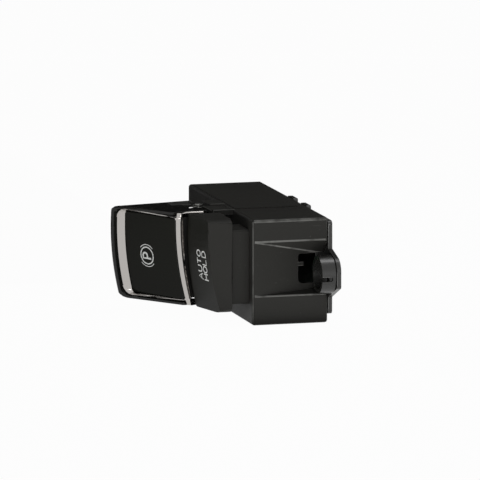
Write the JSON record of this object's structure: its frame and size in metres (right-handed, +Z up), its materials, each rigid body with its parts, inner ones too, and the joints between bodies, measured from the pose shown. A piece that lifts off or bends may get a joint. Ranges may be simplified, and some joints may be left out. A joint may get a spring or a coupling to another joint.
{
  "type": "parking brake switch",
  "caption": "Console parking brake switch with a pull rocker marked by a parking sign, a hold button, a bright frame, a clip-on rear cover with screw lugs and a plug socket.",
  "frame": {"origin": "middle of the housing along X and Y, on the flat side it lies on", "axes": "-Y out of the button side, +X to the end with the hold button, +Z up from the flat side"},
  "size_m": [0.1036, 0.0744, 0.0353],
  "materials": {
    "matte_black": "fine grain",
    "gloss_black": "gloss",
    "satin_black": "satin",
    "inner_black": "matte",
    "satin_chrome": "satin",
    "steel": "drawn",
    "contact_metal": "tinned",
    "board": "solder mask",
    "white_plastic": "moulded",
    "light_guide": "clear plastic",
    "lamp": "lamp body"
  },
  "bodies": {
    "housing": {"housing": "matte_black", "rear_cover": "matte_black", "mounting_sleeve_near": "matte_black", "mounting_sleeve_far": "matte_black", "circuit_board": "board", "board_screw_1": "steel", "board_screw_2": "steel", "board_screw_3": "steel", "board_screw_4": "steel", "contact_pin_1": "contact_metal", "contact_pin_2": "contact_metal", "contact_pin_3": "contact_metal", "contact_pin_4": "contact_metal", "contact_pin_5": "contact_metal", "contact_pin_6": "contact_metal", "contact_pin_7": "contact_metal", "contact_pin_8": "contact_metal", "control_chip": "inner_black", "hold_lamp": "lamp", "p_lamp": "lamp", "hold_light_guide": "light_guide", "hold_switch_body": "inner_black", "hold_spring": "steel", "pivot_pin": "steel", "return_spring_right": "steel", "return_spring_left": "steel", "shuttle_frame": "inner_black"},
    "rocker": {"rocker_carrier": "matte_black", "rocker_hood": "gloss_black", "chrome_ring": "satin_chrome", "rocker_cap": "gloss_black", "p_light_guide": "light_guide"},
    "hold_button": {"hold_cap": "satin_black", "hold_plunger": "white_plastic", "hold_switch_stem": "white_plastic"},
    "shuttle": {"contact_shuttle": "white_plastic", "shuttle_contact": "contact_metal"}
  },
  "joints": [
    {"name": "rocker_hinge", "type": "hinge", "parent": "housing", "child": "rocker", "pos_m": [0.00005, -0.0204, 0.0195], "axis": [0, 0, 1], "range_deg": [-3, 4], "stiffness_Nm_per_rad": 0.3},
    {"name": "hold_press", "type": "slide", "parent": "housing", "child": "hold_button", "axis": [0, 1, 0], "range_m": [0, 0.0012], "stiffness_N_per_m": 1500, "deforming": ["hold_spring"]},
    {"name": "shuttle_slide", "type": "slide", "parent": "housing", "child": "shuttle", "axis": [1, 0, 0], "range_m": [-0.0012, 0.0009]}
  ],
  "couplings": [
    {"joint": "shuttle_slide", "follows": "rocker_hinge", "m_per_rad": -0.0165}
  ]
}
